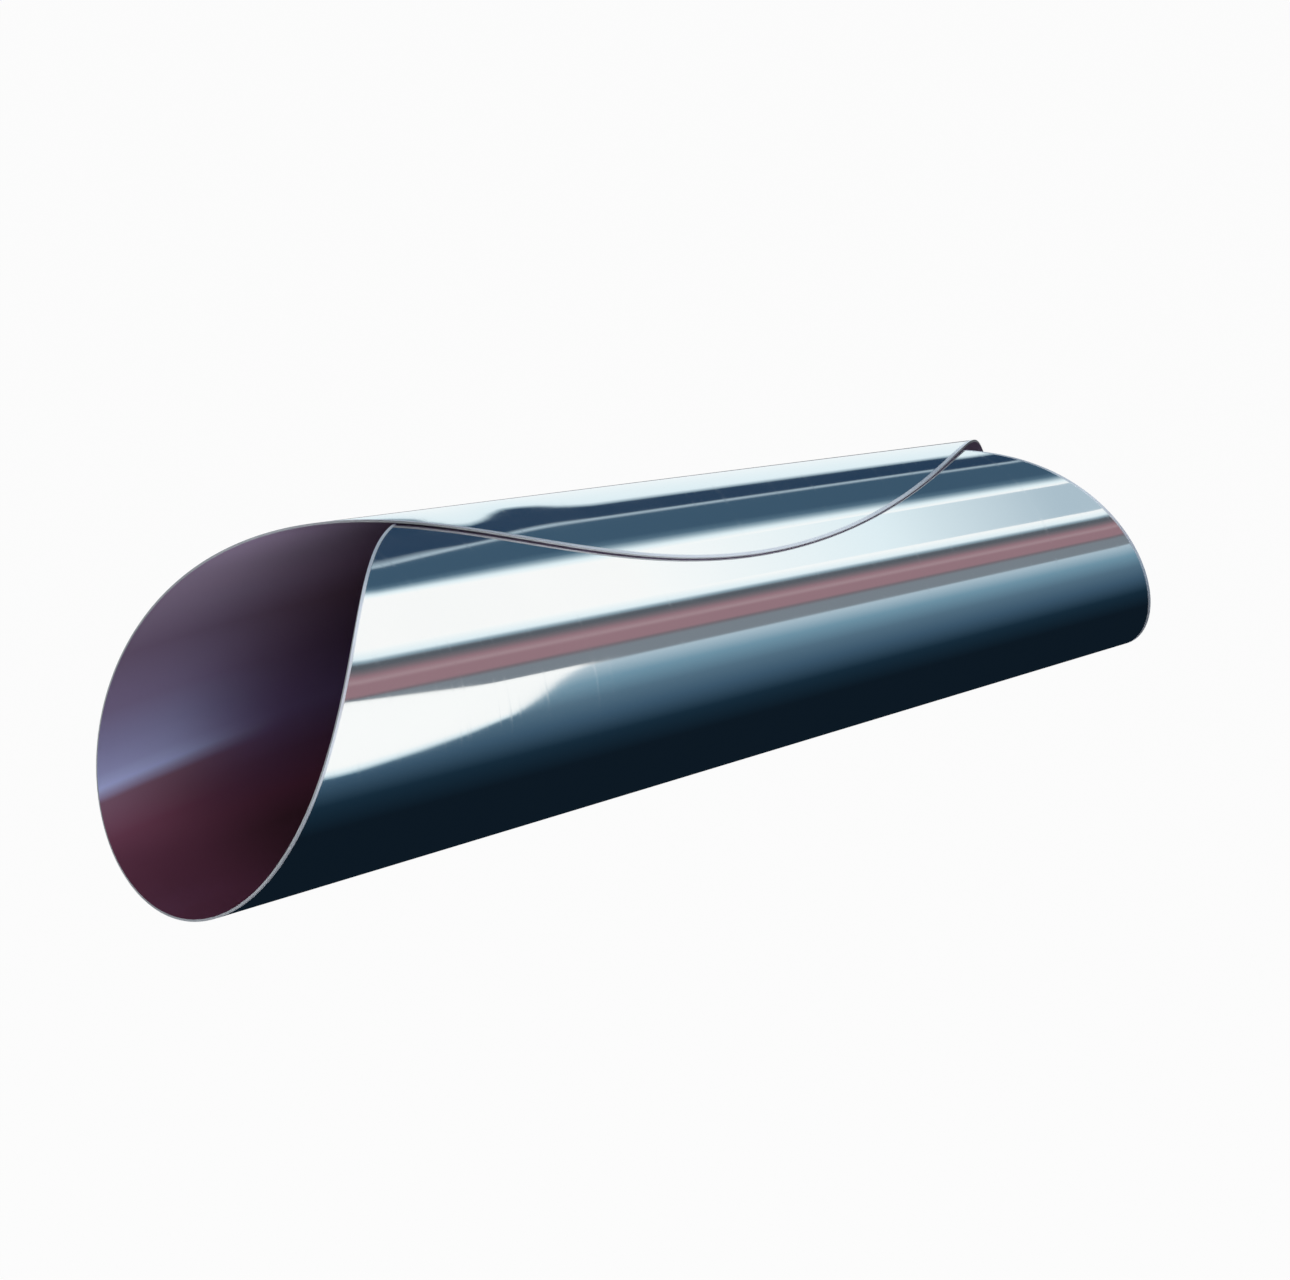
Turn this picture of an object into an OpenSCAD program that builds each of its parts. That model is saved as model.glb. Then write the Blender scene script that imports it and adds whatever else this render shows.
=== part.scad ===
// Drip stop pourer: a flat disc of thin, springy film, rolled up into a tapered spout that springs
// open against the bore it is pushed into. It is one piece of film with no crease, seam or joint.
//
// The roll stays a true development of the flat disc. Its surface is a cone, and every ruling of
// that cone is a straight line through the film, from one point of the disc's rim to another.
//
// Frame: millimetres, +Z up. The origin is the centre of the roll at its seat, where the bore that
// holds it begins. The roll's axis lies along Y, the open mouth faces -Y and the tip is at the bottom.

/* [Film disc] */
// Diameter of the disc when it lies flat
disc_d = 75; // [65:1:90]
// Thickness of the film
film_t = 0.15; // [0.1:0.01:0.3]

/* [Roll] */
// Outside diameter of the roll at its seat
seat_d = 20.5; // [17:0.1:23]
// Angle between the roll's axis and its wall
taper = 3.6; // [2:0.1:7]
// How far the tip stands out past the seat, along the wall
tip_reach = 27; // [15:0.1:35]
// Air between the two layers of film where the flaps lap over each other
lap_gap = 0.1; // [0.02:0.01:0.5]

/* [Hidden] */

// Rulings that cut the film into flat facets, from one flap's end to the other's
rulings = 160;

disc_r = disc_d / 2;
// From the disc's centre to the seat, along the wall
seat_slant = disc_r - tip_reach;
// From the cone's apex to the disc's centre, along the wall through the middle of the film
apex_slant = (seat_d / 2 - film_t / 2 / cos(taper)) / sin(taper) - seat_slant;
// Widest angle between the tip's line and the rim, seen from the apex on the flat disc
flap_angle = asin(disc_r / apex_slant);
// Every full turn towards -X lifts the film by its own thickness and the air between the layers,
// so the flap on that side laps outside the other
turn_lift = film_t + lap_gap;

silver = [0.80, 0.82, 0.84];

// Angle of one ruling from the tip's line, seen from the apex on the flat disc. The sine packs
// the rulings towards the ends of the flaps, where the rim runs along them.
function ruling_angle(i) = flap_angle * sin(180 * i / rulings - 90);

// Distance from the apex at which a ruling meets the rim: side is 1 at the mouth and -1 at the
// inner end.
function rim_slant(angle, side) =
    apex_slant * cos(angle) + side * sqrt(pow(disc_r, 2) - pow(apex_slant * sin(angle), 2));

// A point of the film once it is rolled up, from its flat angle and distance from the apex and
// its height through the film, which counts outwards from the middle of the thickness.
function rolled(angle, slant, height) =
    let (
        turn = angle / sin(taper),
        lift = height - turn_lift * turn / 360,
        radius = slant * sin(taper) + lift * cos(taper),
        along = (slant - apex_slant - seat_slant) * cos(taper) - lift * sin(taper)
    )
    [radius * sin(turn), -along, -radius * cos(turn)];

// The four corners of the film's cut section along a ruling: outside then inside, and each at
// the mouth then at the inner end.
function section(i) =
    [for (height = [film_t / 2, -film_t / 2], side = [1, -1])
        rolled(ruling_angle(i), rim_slant(ruling_angle(i), side), height)];

// The two points at the end of a flap, where the last ruling only touches the rim
function flap_end(i) =
    [for (height = [film_t / 2, -film_t / 2])
        rolled(ruling_angle(i), apex_slant * cos(ruling_angle(i)), height)];

// Where a ruling's section begins in the list of points, after the first flap's end
function first_point(i) = 2 + 4 * (i - 1);

// The walls between two neighbouring sections: outside, inside and the two cut edges
function strip_faces(a, b) = [
    [a, b, b + 1, a + 1],
    [a + 2, a + 3, b + 3, b + 2],
    [a, a + 2, b + 2, b],
    [a + 1, b + 1, b + 3, a + 3]
];

// The same walls between the first flap's end and the section beside it
function end_faces(end, a) = [
    [end, a, a + 1],
    [end + 1, a + 3, a + 2],
    [end, end + 1, a + 2, a],
    [end, a + 1, a + 3, end + 1]
];

// Faces turned over, for the second flap's end
function turned_over(faces) =
    [for (face = faces) [for (k = [len(face) - 1 : -1 : 0]) face[k]]];

module rolled_disc() {
    points = concat(
        flap_end(0),
        [for (i = [1 : rulings - 1]) each section(i)],
        flap_end(rulings)
    );
    faces = concat(
        end_faces(0, first_point(1)),
        [for (i = [1 : rulings - 2]) each strip_faces(first_point(i), first_point(i + 1))],
        turned_over(end_faces(first_point(rulings), first_point(rulings - 1)))
    );
    color(silver)
    polyhedron(points, faces, convexity = 6);
}

rolled_disc();
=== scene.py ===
# Drip stop pourer: a flat disc of thin metallised film, rolled up by hand into a tapered spout.
# Everything is in metres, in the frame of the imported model: the roll's axis lies along Y, its open
# mouth faces -Y and the tip is at the bottom.
import math

import bpy
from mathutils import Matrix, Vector, noise


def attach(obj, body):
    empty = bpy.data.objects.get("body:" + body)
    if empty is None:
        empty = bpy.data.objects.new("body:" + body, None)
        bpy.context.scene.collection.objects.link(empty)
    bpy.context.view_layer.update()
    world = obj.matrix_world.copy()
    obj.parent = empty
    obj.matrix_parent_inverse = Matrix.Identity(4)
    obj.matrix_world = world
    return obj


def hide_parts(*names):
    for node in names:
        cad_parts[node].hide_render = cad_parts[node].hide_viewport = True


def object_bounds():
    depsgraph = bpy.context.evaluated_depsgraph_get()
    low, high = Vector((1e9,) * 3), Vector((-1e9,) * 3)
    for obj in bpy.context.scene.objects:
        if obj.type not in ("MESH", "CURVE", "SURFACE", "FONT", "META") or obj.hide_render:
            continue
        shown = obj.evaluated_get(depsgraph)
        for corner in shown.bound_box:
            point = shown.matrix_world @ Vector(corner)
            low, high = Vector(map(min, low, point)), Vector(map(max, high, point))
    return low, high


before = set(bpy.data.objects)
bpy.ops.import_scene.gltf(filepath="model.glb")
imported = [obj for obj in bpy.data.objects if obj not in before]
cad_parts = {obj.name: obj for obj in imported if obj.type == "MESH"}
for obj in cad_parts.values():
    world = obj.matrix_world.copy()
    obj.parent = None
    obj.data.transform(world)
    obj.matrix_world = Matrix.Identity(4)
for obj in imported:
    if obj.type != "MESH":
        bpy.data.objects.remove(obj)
cad_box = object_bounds()


# The camera looks down into the mouth from the +X side. A long lens from far away keeps the
# roll's two sides nearly parallel.
def towards(turn, rise):
    """The direction of a place round the roll, in degrees: turn 0 faces the mouth and 90 is +X."""
    turn, rise = math.radians(turn), math.radians(rise)
    return Vector((
        math.sin(turn) * math.cos(rise),
        -math.cos(turn) * math.cos(rise),
        math.sin(rise),
    ))


def add_object(name, data):
    """Puts a new object in the scene."""
    added = bpy.data.objects.new(name, data)
    bpy.context.scene.collection.objects.link(added)
    return added


def stand_off(name, data, direction, distance):
    """Stands a camera or a lamp off from the roll, turned to look at its centre."""
    stood = add_object(name, data)
    stood.location = roll_centre + direction * distance
    stood.rotation_euler = direction.to_track_quat("Z", "Y").to_euler()
    return stood


roll_centre = (Vector(cad_box[0]) + Vector(cad_box[1])) / 2
camera_turn = 53.3
camera_rise = 16.6
camera_distance = 0.92
camera_data = bpy.data.cameras.new("camera")
camera_data.lens = 400
camera_data.sensor_width = 36
camera_data.clip_start = 0.05
camera_data.clip_end = 100
camera = stand_off("camera", camera_data, towards(camera_turn, camera_rise), camera_distance)
bpy.context.scene.camera = camera
bpy.context.scene.view_settings.view_transform = "Standard"


# The film: one die cut disc of springy polyester film, metallised mirror bright on the outside and
# dark aubergine on the inside. It is rolled into a cone without stretching, its -X flap outside,
# and nothing but its own spring and the bore around its seat holds it in that form.
disc_r = 0.0375
film_t = 0.00015
seat_d = 0.0205
taper = math.radians(3.6)
tip_reach = 0.027
lap_gap = 0.0001
seat_slant = disc_r - tip_reach
apex_slant = (seat_d / 2 - film_t / 2 / math.cos(taper)) / math.sin(taper) - seat_slant
flap_angle = math.asin(disc_r / apex_slant)
turn_lift = (film_t + lap_gap) / (2 * math.pi)


def rolled(turn, slant, height):
    """A point of the rolled film, from its turn round the roll, its distance from the apex and
    its height above the middle of the film."""
    lift = height - turn_lift * turn
    radius = slant * math.sin(taper) + lift * math.cos(taper)
    along = (slant - apex_slant - seat_slant) * math.cos(taper) - lift * math.sin(taper)
    return Vector((radius * math.sin(turn), -along, -radius * math.cos(turn)))


# Rolling leaves faint waves in the film, which lie along the roll. Their two counts are waves per
# metre of the flat disc.
wave_height = 0.000015
waves_across = 75
waves_along = 22
wave_pattern = 3.1


def film_wave(flat_x, flat_y):
    """How high the film's waves stand at a place of the flat disc."""
    spot = Vector((flat_x * waves_across, flat_y * waves_along, wave_pattern))
    return wave_height * noise.noise(spot)


# The mesh: a column of points for each ruling of the cone, packed towards the flaps' ends, and its
# rows from the inner end to the mouth. Each place has a point outside and one inside.
columns = 360
rows = 48
film_points = []
film_flat = []
for column in range(columns + 1):
    angle = flap_angle * math.sin(math.pi * (column / columns - 0.5))
    turn = angle / math.sin(taper)
    half_chord = math.sqrt(max(0, disc_r ** 2 - (apex_slant * math.sin(angle)) ** 2))
    for row in range(rows + 1):
        slant = apex_slant * math.cos(angle) + half_chord * (2 * row / rows - 1)
        flat_x = slant * math.sin(angle)
        flat_y = slant * math.cos(angle) - apex_slant
        wave = film_wave(flat_x, flat_y)
        for height in (film_t / 2, -film_t / 2):
            film_points.append(rolled(turn, slant, height + wave))
            film_flat.append((flat_x, flat_y))


def film_point(column, row, side):
    """Where a point stands in the list. All the rows of the first and last columns meet in the
    one point where the flap ends."""
    if column in (0, columns):
        row = 0
    return 2 * (column * (rows + 1) + row) + side


def without_repeats(corners):
    """A face's corners, each once, so a square at a flap's end becomes a triangle."""
    return [c for k, c in enumerate(corners) if c != corners[k - 1]]


outside, inside, cut = 0, 1, 2
film_faces = []
film_sides = []
for column in range(columns):
    for row in range(rows):
        corners = ((column, row), (column + 1, row), (column + 1, row + 1), (column, row + 1))
        film_faces.append(without_repeats([film_point(c, r, outside) for c, r in corners]))
        film_faces.append(without_repeats([film_point(c, r, inside) for c, r in reversed(corners)]))
        film_sides.extend((outside, inside))
    for row, step in ((0, 1), (rows, -1)):
        first, last = (column, column + 1)[::step]
        film_faces.append(without_repeats([
            film_point(first, row, inside),
            film_point(last, row, inside),
            film_point(last, row, outside),
            film_point(first, row, outside),
        ]))
        film_sides.append(cut)
used = sorted({point for face in film_faces for point in face})
renumbered = {point: number for number, point in enumerate(used)}
film_mesh = bpy.data.meshes.new("rolled_film")
film_mesh.from_pydata(
    [film_points[point] for point in used],
    [],
    [[renumbered[point] for point in face] for face in film_faces],
)
flat_map = film_mesh.uv_layers.new(name="flat_disc")
for corner in film_mesh.loops:
    flat_map.data[corner.index].uv = film_flat[used[corner.vertex_index]]
sides_at_edge = {}
for face, side in zip(film_mesh.polygons, film_sides):
    face.material_index = side
    face.use_smooth = True
    for key in face.edge_keys:
        sides_at_edge.setdefault(key, set()).add(side)
for edge in film_mesh.edges:
    edge.use_edge_sharp = len(sides_at_edge[edge.key]) > 1


class Shade:
    """A socket of a material's nodes that can be reckoned with, as 1 - mask or haze * 0.2."""

    def __init__(self, tree, socket=None):
        self.tree = tree
        self.socket = socket

    def node(self, kind, settings=None, inputs=None, output=0):
        made = self.tree.nodes.new(kind)
        for name, setting in (settings or {}).items():
            if name == "stops":
                ramp = made.color_ramp
                while len(ramp.elements) < len(setting):
                    ramp.elements.new(1)
                for element, (place, colour) in zip(ramp.elements, setting):
                    element.position = place
                    element.color = colour
            else:
                setattr(made, name, setting)
        for name, value in (inputs or {}).items():
            if isinstance(value, Shade):
                self.tree.links.new(value.socket, made.inputs[name])
            else:
                made.inputs[name].default_value = value
        return Shade(self.tree, made.outputs[output])

    def math(self, operation, first, second):
        return self.node("ShaderNodeMath", {"operation": operation}, {0: first, 1: second})

    def __add__(self, other):
        return self.math("ADD", self, other)

    __radd__ = __add__

    def __sub__(self, other):
        return self.math("SUBTRACT", self, other)

    def __rsub__(self, other):
        return self.math("SUBTRACT", other, self)

    def __mul__(self, other):
        return self.math("MULTIPLY", self, other)

    __rmul__ = __mul__


def film_finish(name):
    """A new finish of the film: its material, its Principled shader and the map of the flat disc,
    in metres from the centre, which its nodes start from."""
    material = bpy.data.materials.new(name)
    material.use_nodes = True
    flat = Shade(material.node_tree).node("ShaderNodeUVMap", {"uv_map": "flat_disc"})
    return material, material.node_tree.nodes["Principled BSDF"], flat


def feed(shader, name, value):
    """Joins a worked out value to one of the shader's sockets."""
    value.tree.links.new(value.socket, shader.inputs[name])


def clouds(place, scale, detail, roughness):
    """Soft noise over the film, from 0 to 1."""
    return place.node(
        "ShaderNodeTexNoise",
        {"noise_dimensions": "2D"},
        {"Vector": place, "Scale": scale, "Detail": detail, "Roughness": roughness},
    )


def ramp_over(value, stops):
    """A colour for each value, from stops of value and colour."""
    return value.node("ShaderNodeValToRGB", {"stops": stops}, {"Fac": value})


def rising(value, start, end):
    """0 up to the start and 1 past the end, with a soft passage between them."""
    return value.node(
        "ShaderNodeMapRange",
        {"interpolation_type": "SMOOTHSTEP"},
        {"Value": value, "From Min": start, "From Max": end},
    )


def length_of(place):
    """How far a place of the flat disc lies from its centre."""
    return place.node("ShaderNodeVectorMath", {"operation": "LENGTH"}, {0: place}, output="Value")


def blend_colours(factor, first, second):
    """One colour passing into another by a factor."""
    return factor.node(
        "ShaderNodeMix", {"data_type": "RGBA"}, {0: factor, 6: first, 7: second}, output=2
    )


def bumps(height, strength):
    """A relief of a hundredth of a millimetre."""
    return height.node(
        "ShaderNodeBump", {}, {"Strength": strength, "Distance": 0.00001, "Height": height}
    )


# Outside: vacuum metallised, so nearly a mirror, with a faint haze in clouds and hairlines from
# wiping it dry. The die has dulled it along the cut, in a line a fifth of a millimetre wide.
dulled_width = 0.0002
dulled_blur = 0.00005
mirror_film, shader, flat = film_finish("mirror_film")
cloud = clouds(flat, scale=130, detail=3, roughness=0.5)
wiped = flat.node(
    "ShaderNodeMapping", {}, {"Vector": flat, "Rotation": (0, 0, 0.35), "Scale": (14, 2600, 1)}
)
hairline = clouds(wiped, scale=1, detail=2, roughness=0.6)
scratched = ramp_over(hairline, ((0.62, (0, 0, 0, 1)), (0.78, (1, 1, 1, 1))))
dulled_from = disc_r - dulled_width
dulled = rising(length_of(flat), dulled_from - dulled_blur, dulled_from + dulled_blur)
silver = blend_colours(cloud, (0.94, 0.96, 0.955, 1), (0.97, 0.98, 0.975, 1))
feed(shader, "Base Color", blend_colours(dulled, silver, (0.84, 0.88, 0.95, 1)))
feed(shader, "Metallic", 1 - dulled * 0.15)
feed(shader, "Roughness", 0.03 + cloud * 0.06 + scratched * 0.05 + dulled * 0.4)
feed(shader, "Normal", bumps(hairline, strength=0.012))

# Inside: the same metal under a dark aubergine lacquer, satin and softly clouded, with a fine
# grain that blurs what it mirrors. Its colour is partly that lacquer and partly painted light and
# shade, in bands along the rulings. It is darker and redder towards the tip's line and lighter
# towards the flaps' ends, and near the rim it is painted lighter. There a painted reflection of a
# blue violet light runs as a streak on either side.
aubergine_film, shader, flat = film_finish("aubergine_film")
shader.inputs["Metallic"].default_value = 0.3
shader.inputs["Specular IOR Level"].default_value = 0.35
shader.inputs["Specular Tint"].default_value = (0.55, 0.45, 0.65, 1)
cloud = clouds(flat, scale=24, detail=3, roughness=0.45)
grain = clouds(flat, scale=9000, detail=2, roughness=0.6)
flat_x = flat.node("ShaderNodeSeparateXYZ", {}, {"Vector": flat}, output="X")
flat_y = flat.node("ShaderNodeSeparateXYZ", {}, {"Vector": flat}, output="Y")
ruling_angle = flat.math("ARCTAN2", flat_x, flat_y + apex_slant)
half_turns = flat.math("ABSOLUTE", ruling_angle, 0) * (1 / math.sin(taper) / math.pi)
from_centre = length_of(flat)

# The bands of lacquer colour and painted light stand as given at one distance from the disc's
# centre. Nearer to it they drift away from the tip's line, by half turns per metre, and the clouds
# make them wander a little.
bands_set_at = 0.035
bands_drift = 4.4
bands_wander = 0.04
drift = (from_centre - bands_set_at) * bands_drift
across_bands = half_turns + drift + (cloud - 0.5) * bands_wander
# Deep inside: the lacquer's aubergine with painted light and shade. It is darker and redder towards
# the tip's line, holds a faint painted blue violet reflection, and is lighter towards the flaps'
# ends.
deep_lacquer_and_painted_shade = ramp_over(across_bands, (
    (0.14, (0.080, 0.028, 0.042, 1)),
    (0.20, (0.140, 0.042, 0.078, 1)),
    (0.27, (0.140, 0.060, 0.125, 1)),
    (0.35, (0.180, 0.122, 0.270, 1)),
    (0.45, (0.155, 0.098, 0.185, 1)),
    (0.56, (0.180, 0.110, 0.170, 1)),
    (0.67, (0.280, 0.185, 0.300, 1)),
))
# Near the rim: painted light, lighter than deep inside, with a painted reflection of a blue violet
# light as a bright streak on either side.
rim_lacquer_and_painted_light = ramp_over(across_bands, (
    (0.24, (0.160, 0.048, 0.085, 1)),
    (0.31, (0.200, 0.100, 0.150, 1)),
    (0.335, (0.420, 0.460, 0.750, 1)),
    (0.36, (0.320, 0.330, 0.560, 1)),
    (0.40, (0.250, 0.245, 0.420, 1)),
    (0.46, (0.190, 0.155, 0.265, 1)),
    (0.56, (0.148, 0.108, 0.175, 1)),
    (0.72, (0.270, 0.215, 0.305, 1)),
    (0.83, (0.420, 0.330, 0.480, 1)),
))
# The painted rim light comes in between these distances from the disc's centre.
rim_light_starts_at = 0.024
rim_light_full_past = 0.033
painted_rim_light = rising(from_centre, rim_light_starts_at, rim_light_full_past)
feed(shader, "Base Color", blend_colours(painted_rim_light, deep_lacquer_and_painted_shade, rim_lacquer_and_painted_light))
feed(shader, "Roughness", 0.28 + cloud * 0.1)
feed(shader, "Normal", bumps(grain, strength=0.08))

# Cut edge: bare polyester where the die went through the disc, grey and a little frosted. No
# lacquer or metal covers it.
cut_edge, shader, flat = film_finish("cut_edge")
shader.inputs["IOR"].default_value = 1.6
frosted = clouds(flat, scale=2500, detail=2, roughness=0.5)
feed(shader, "Base Color", blend_colours(frosted, (0.26, 0.28, 0.31, 1), (0.36, 0.38, 0.40, 1)))
feed(shader, "Roughness", 0.28 + frosted * 0.15)

for material in (mirror_film, aubergine_film, cut_edge):
    film_mesh.materials.append(material)
film = add_object("rolled_film", film_mesh)
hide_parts("rolled_disc")
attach(film, "root")


# The room: white all round for the eye and for whatever mirrors it, and a soft grey for the light
# that it lends. The floor is a plain pale table well below the roll, which hangs in the air where
# its bore would hold it; it takes the roll's own soft shadow.
room_light = 0.42
room_white = 0.97
floor_white = 0.95
floor_half = 30
floor_z = -0.2


def bare_nodes(holder):
    """Clears a material's or a world's nodes, and gives the place to start its own from."""
    holder.use_nodes = True
    holder.node_tree.nodes.clear()
    return Shade(holder.node_tree)


def looked_at(nodes):
    """1 for rays from the eye and for those that a shiny or clear surface sends on, else 0."""
    eye = nodes.node("ShaderNodeLightPath", output="Is Camera Ray")
    shine = nodes.node("ShaderNodeLightPath", output="Is Glossy Ray")
    clear = nodes.node("ShaderNodeLightPath", output="Is Transmission Ray")
    return nodes.math("MAXIMUM", nodes.math("MAXIMUM", eye, shine), clear)


def show(surface, output="ShaderNodeOutputMaterial"):
    """Joins a surface to the output of its material or world."""
    out = surface.tree.nodes.new(output)
    surface.tree.links.new(surface.socket, out.inputs["Surface"])


room = bpy.data.worlds.new("white_room")
nodes = bare_nodes(room)
strength = room_light + looked_at(nodes) * (room_white - room_light)
room_surface = nodes.node(
    "ShaderNodeBackground", {}, {"Color": (1, 1, 1, 1), "Strength": strength}
)
show(room_surface, "ShaderNodeOutputWorld")
bpy.context.scene.world = room

pale_floor = bpy.data.materials.new("pale_floor")
nodes = bare_nodes(pale_floor)
matt = nodes.node("ShaderNodeBsdfDiffuse", {}, {"Color": (0.9, 0.9, 0.9, 1)})
white = nodes.node("ShaderNodeEmission", {}, {"Color": (1, 1, 1, 1), "Strength": 1})
show(nodes.node(
    "ShaderNodeMixShader", {}, {0: looked_at(nodes) * floor_white, 1: matt, 2: white}
))
floor_mesh = bpy.data.meshes.new("floor")
floor_mesh.from_pydata(
    [(floor_half * x, floor_half * y, floor_z) for x, y in ((-1, -1), (1, -1), (1, 1), (-1, 1))],
    [],
    [(0, 1, 2, 3)],
)
floor_mesh.materials.append(pale_floor)
floor = add_object("floor", floor_mesh)


# Soft lamps: a key over the mouth, a cool one low down before it that shines past the +X flap on
# the inside of the -X flap, and one from behind on the -X side.
for name, turn, rise, distance, size, power, colour in (
    ("key_lamp", 30, 55, 0.45, 0.30, 0.2, (1, 1, 1)),
    ("mouth_lamp", 52, -20, 0.30, 0.14, 0.6, (0.95, 0.96, 1)),
    ("back_lamp", -120, 45, 0.50, 0.30, 0.4, (1, 1, 1)),
):
    lamp_data = bpy.data.lights.new(name, "AREA")
    lamp_data.size = size
    lamp_data.energy = power
    lamp_data.color = colour
    lamp = stand_off(name, lamp_data, towards(turn, rise), distance)
    lamp.visible_camera = False


# The flags: long cards, dark and pale, that hang round the roll and that only its own shine takes
# in. They give the bright metal its bands. They hang where the film sends the camera's own rays,
# and run on past both ends of the roll, so that it has its bands from every side.
flag_run_on = 0.6
points_across = 25


def outward(turn):
    """The direction that the film's outside faces at a turn."""
    return Vector((
        math.cos(taper) * math.sin(turn),
        math.sin(taper),
        -math.cos(taper) * math.cos(turn),
    ))


def sent_on(turn, slant, reach):
    """Where a ray from the camera gets to, once the film has mirrored it."""
    point = rolled(turn, apex_slant + slant, film_t / 2)
    normal = outward(turn)
    back = (camera.location - point).normalized()
    return point + (2 * normal.dot(back) * normal - back) * reach


def turn_at(stops, slant):
    """A turn, in degrees, from stops of slant, in millimetres, and turn."""
    slant = slant * 1000
    if slant <= stops[0][0]:
        return stops[0][1]
    for (first, low), (last, high) in zip(stops, stops[1:]):
        if slant <= last:
            return low + (high - low) * (slant - first) / (last - first)
    return stops[-1][1]


def band(reach, lower, upper, slants):
    """Points of a flag that shows as a band of the roll between two lines of slant and turn."""
    grid = []
    for slant in slants:
        low, high = turn_at(lower, slant), turn_at(upper, slant)
        turns = [low + (high - low) * j / (points_across - 1) for j in range(points_across)]
        grid.append([sent_on(math.radians(turn), slant, reach) for turn in turns])
    return grid


def run_on(line, way):
    """The end of a flag, carried on along the roll's axis."""
    return [point + Vector((0, way * flag_run_on, 0)) for point in line]


def crosswise(grid):
    """The same points with the colours to run along the roll."""
    return list(zip(*grid))


def screen(red, green, blue):
    """A colour of the screen, 0 to 255, as the light that shows as it on the screen's curve."""
    return tuple((((c / 255 + 0.055) / 1.055) ** 2.4) for c in (red, green, blue)) + (1,)


def hang(name, grid, across):
    """A flag through a grid of points, with its colours across its short way."""
    long_way, short_way = len(grid) - 1, len(grid[0]) - 1
    mesh = bpy.data.meshes.new(name)
    mesh.from_pydata(
        [point for line in grid for point in line],
        [],
        [
            (i * (short_way + 1) + j, (i + 1) * (short_way + 1) + j,
             (i + 1) * (short_way + 1) + j + 1, i * (short_way + 1) + j + 1)
            for i in range(long_way) for j in range(short_way)
        ],
    )
    card_map = mesh.uv_layers.new(name="card")
    for corner in mesh.loops:
        i, j = divmod(corner.vertex_index, short_way + 1)
        card_map.data[corner.index].uv = (i / long_way, j / short_way)
    material = bpy.data.materials.new(name)
    nodes = bare_nodes(material)
    card = nodes.node("ShaderNodeUVMap", {"uv_map": "card"})
    place = nodes.node("ShaderNodeSeparateXYZ", {}, {"Vector": card}, output="Y")
    colour = ramp_over(place, across)
    show(nodes.node("ShaderNodeEmission", {}, {"Color": colour, "Strength": 1}))
    mesh.materials.append(material)
    flag = add_object(name, mesh)
    flag.visible_camera = False
    flag.visible_diffuse = False
    flag.visible_shadow = False


# Slants, from the disc's centre towards the mouth, at which the flags follow the film.
past_inner_end = [-0.14, -0.11, -0.08, -0.055]
along_film = [-0.038 + 0.00125 * step for step in range(61)]
past_mouth = [0.05, 0.07, 0.1, 0.14, 0.2, 0.26]


def band_flag(name, reach, lower, upper, across):
    """A flag as long as the roll and on past both its ends, with its colours across the band."""
    grid = band(reach, lower, upper, past_inner_end + along_film + past_mouth)
    hang(name, [run_on(grid[0], 1)] + grid + [run_on(grid[-1], -1)], across)


ink = screen(13, 25, 36)
petrol = screen(22, 43, 59)
navy = screen(38, 61, 86)
slate = screen(60, 87, 109)
steel = screen(82, 110, 130)
sky = screen(112, 148, 168)
mist = screen(145, 168, 182)
haze = screen(172, 192, 205)
frost = screen(226, 241, 247)
paper = screen(252, 253, 253)
pewter = screen(120, 129, 138)
graphite = screen(86, 92, 100)
smoke = screen(112, 104, 111)
rose = screen(148, 117, 126)
pale_rose = screen(164, 138, 145)

# How far from the film the flags hang. Where two overlap, the nearer one shows.
wedge_reach = 0.085
low_reach = 0.11
side_reach = 0.12
end_reach = 0.125

# Underneath the colours run from pewter through ink to a pale sky, and on the side towards the
# mouth a white card hangs before them.
band_flag(
    "low_flag", low_reach,
    ((0, 12),),
    ((0, 103.6),),
    (
        (0, pewter), (0.055, smoke), (0.13, ink), (0.6, ink), (0.71, petrol),
        (0.8, slate), (0.87, steel), (0.94, sky), (1, haze),
    ),
)
wedge_starts_at = 0.011
wedge = band(
    wedge_reach,
    ((11, 104.2), (13, 102.8), (14.5, 100), (16, 96), (18, 92.3), (22, 89.4), (26, 87.5), (31, 86)),
    ((11, 104.4), (20, 104.8), (28, 107.6), (31, 108.6)),
    [slant for slant in along_film if slant > wedge_starts_at] + past_mouth,
)
wedge.append(run_on(wedge[-1], -1))
hang("wedge_flag", wedge, ((0, sky), (0.06, frost), (0.14, paper), (1, paper)))

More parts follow.
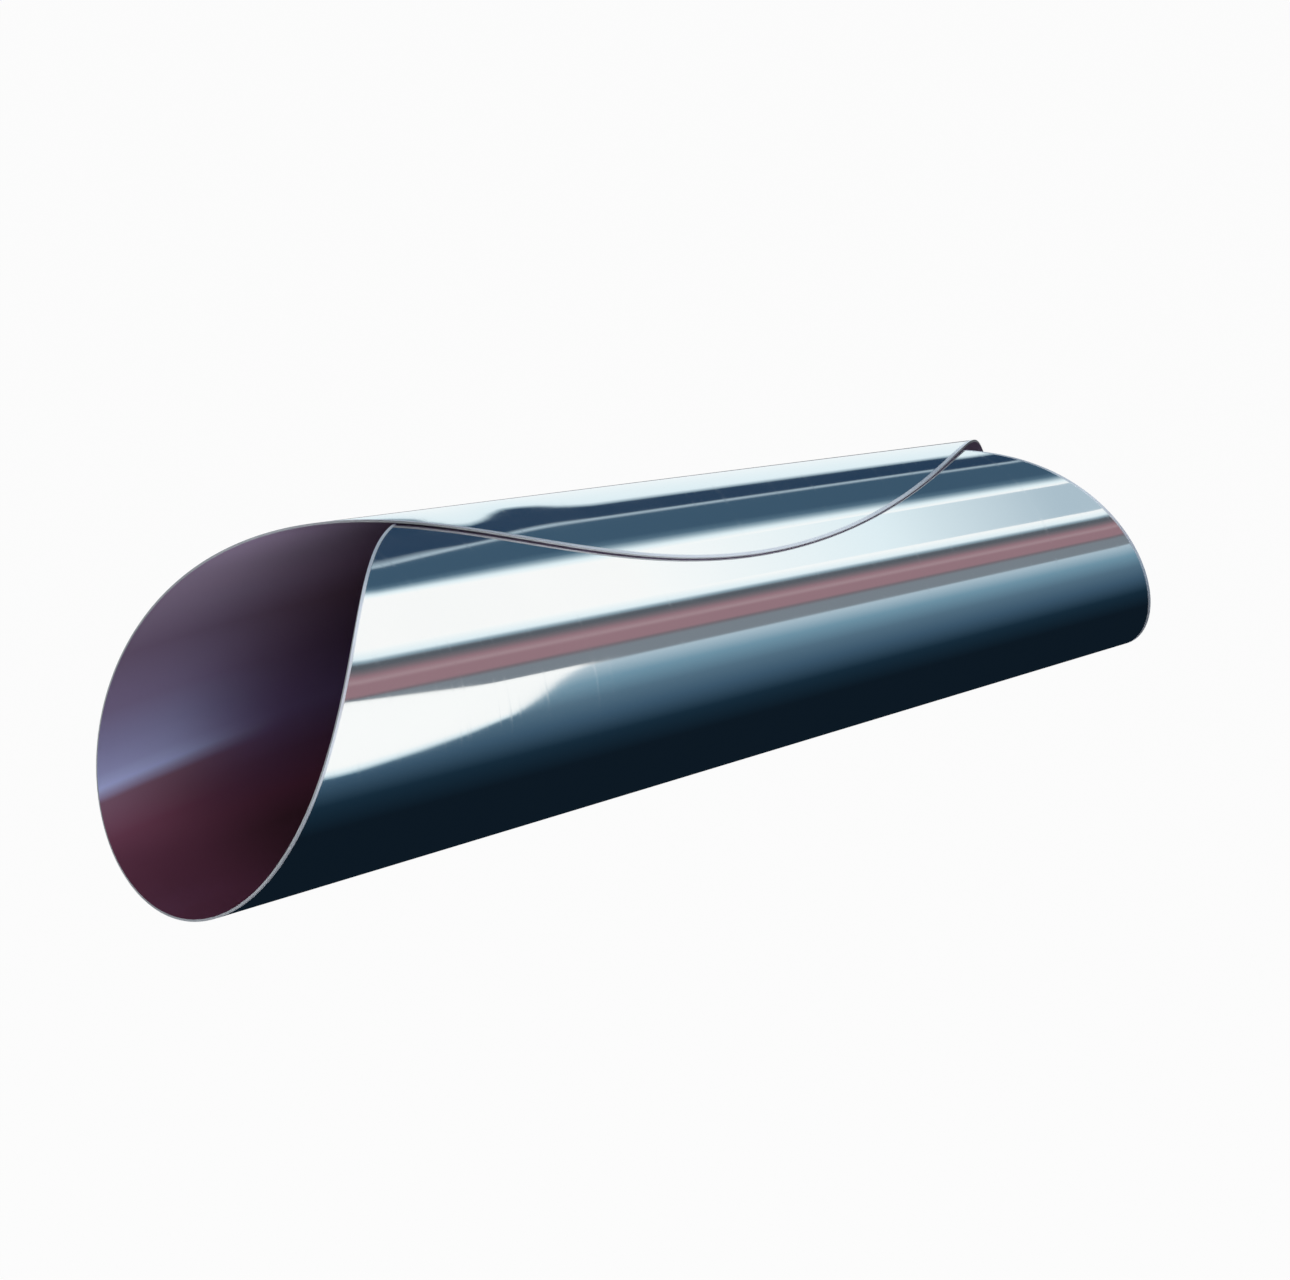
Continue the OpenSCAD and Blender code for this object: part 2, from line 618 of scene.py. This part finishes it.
# Up the side a grey strip and a rose bar cross the white, then slate and navy go over the top to
# a pale card on the far side.
band_flag(
    "strip_flag", side_reach,
    ((12, 103.4), (20, 103.8), (24, 105.2), (28, 107.4), (31, 108.3)),
    ((0, 109.2),),
    ((0, haze), (0.14, pewter), (0.8, pewter), (1, smoke)),
)
band_flag(
    "bar_flag", side_reach,
    ((0, 109.1),),
    ((0, 124),),
    (
        (0, smoke), (0.06, rose), (0.26, rose), (0.33, pale_rose), (0.42, rose), (0.52, smoke),
        (0.61, graphite), (0.67, graphite), (0.74, mist), (0.8, frost), (1, paper),
    ),
)
slate_top = ((10, 160.7), (16, 158.3), (26.5, 152.8))
band_flag(
    "middle_flag", side_reach,
    ((0, 141),),
    slate_top,
    ((0, paper), (0.1, frost), (0.2, mist), (0.28, steel), (0.4, slate), (0.93, slate), (1, haze)),
)
over_the_top = (
    (6, 170), (8, 172), (10, 177), (12.5, 177), (14, 170), (16, 167), (17.5, 170), (19, 178),
    (20, 184),
)
band_flag(
    "high_flag", side_reach,
    slate_top,
    over_the_top,
    ((0, haze), (0.1, navy), (0.9, navy), (1, mist)),
)
band_flag(
    "pale_flag", side_reach,
    over_the_top,
    ((0, 206),),
    ((0, mist), (0.06, frost), (1, paper)),
)

# Past both ends the white band between the bar and the middle flag fades to a pale grey blue, and
# a pale card closes the far end, so that the roll stands out from the white room all round.
white_low = ((0, 121),)
white_high = ((0, 144),)
white_ends_at = 0.006
to_inner_end = past_inner_end + [slant for slant in along_film if slant < white_ends_at]
inner_end = band(end_reach, white_low, white_high, to_inner_end)
inner_end.insert(0, run_on(inner_end[0], 1))
hang(
    "end_flag", crosswise(inner_end),
    ((0, frost), (0.1, haze), (0.3, haze), (0.6, frost), (1, paper)),
)
mouth_end = band(end_reach, white_low, white_high, past_mouth)
mouth_end.append(run_on(mouth_end[-1], -1))
hang("mouth_flag", crosswise(mouth_end), ((0, paper), (0.4, frost), (1, haze)))
far_card_y = 0.85
far_card_steps = (-0.25, 0, 0.25)
far_card = [[Vector((x, far_card_y, z)) for z in far_card_steps] for x in far_card_steps]
hang("far_card", far_card, ((0, steel), (0.5, mist), (0.65, haze), (1, frost)))
